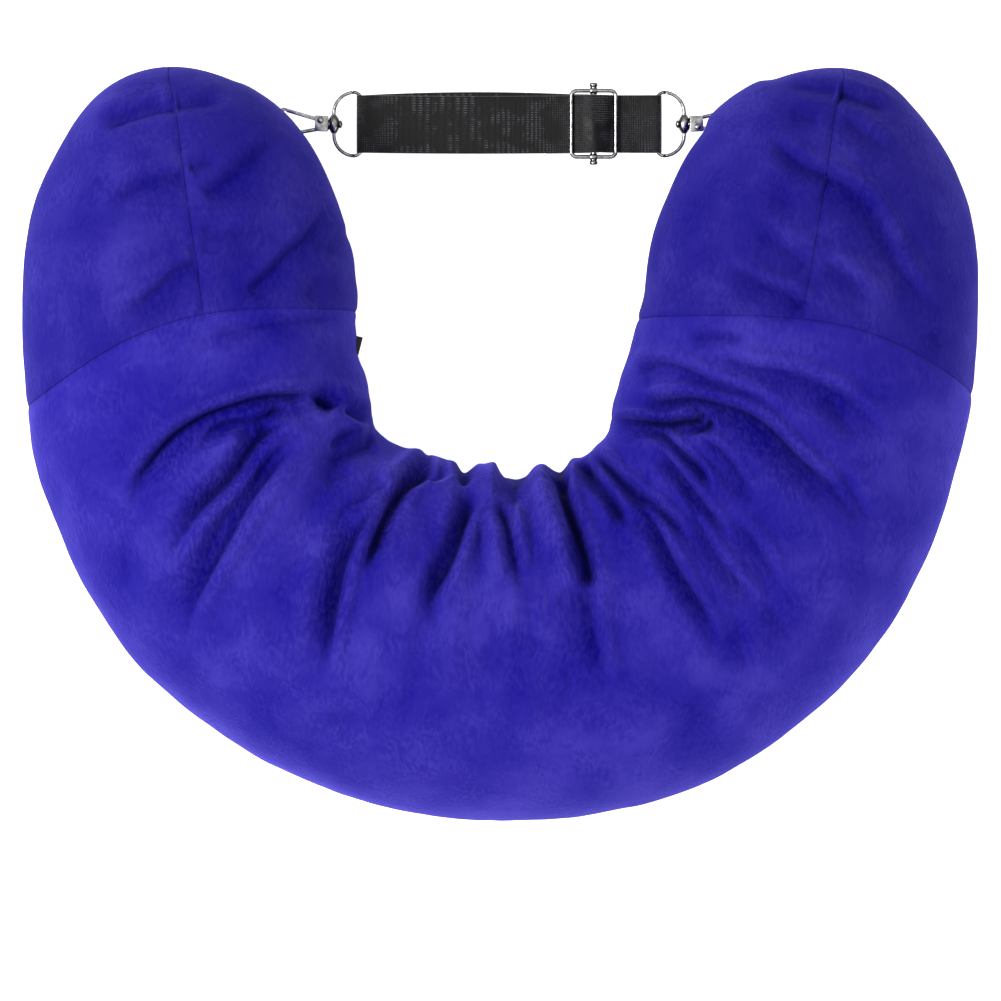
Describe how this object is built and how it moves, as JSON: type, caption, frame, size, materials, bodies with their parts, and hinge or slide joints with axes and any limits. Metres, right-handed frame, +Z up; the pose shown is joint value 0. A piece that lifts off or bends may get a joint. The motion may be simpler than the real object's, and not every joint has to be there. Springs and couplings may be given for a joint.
{
  "type": "neck pillow with clip-on strap",
  "caption": "U-shaped stuffed plush neck pillow with gathered inner curve, rounded arm ends and an adjustable webbing strap clipped between the arms.",
  "frame": {"origin": "middle of the pillow's footprint, on the surface that it lies on", "axes": "+X from the left arm to the right arm as seen from above, +Y towards the arms' ends, +Z up out of the face"},
  "size_m": [0.4778, 0.377, 0.1463],
  "materials": {
    "plush": "short-pile royal blue plush",
    "webbing": "black ribbed nylon webbing",
    "nickel": "polished nickel plate",
    "pull_tab": "black coated zip pull"
  },
  "bodies": {
    "pillow": {"gathered_middle": "plush", "left_cap_outer": "plush", "left_cap_inner": "plush", "right_cap_inner": "plush", "right_cap_outer": "plush", "strap_webbing": "webbing", "slider_frame": "nickel", "slider_bar": "nickel", "left_d_ring": "nickel", "right_d_ring": "nickel", "left_hook": "nickel", "right_hook": "nickel", "left_loop": "webbing", "right_loop": "webbing", "zip_pull_tab": "pull_tab"},
    "left_gate": {"left_gate": "nickel"},
    "right_gate": {"right_gate": "nickel"}
  },
  "joints": [
    {"name": "left_gate_swing", "type": "hinge", "parent": "pillow", "child": "left_gate", "pos_m": [-0.09132, 0.16361, 0.022], "axis": [0, 0, 1], "range_deg": [0, 18], "stiffness_Nm_per_rad": 0.004},
    {"name": "right_gate_swing", "type": "hinge", "parent": "pillow", "child": "right_gate", "pos_m": [0.09964, 0.16028, 0.022], "axis": [0, 0, 1], "range_deg": [0, 18], "stiffness_Nm_per_rad": 0.004}
  ]
}
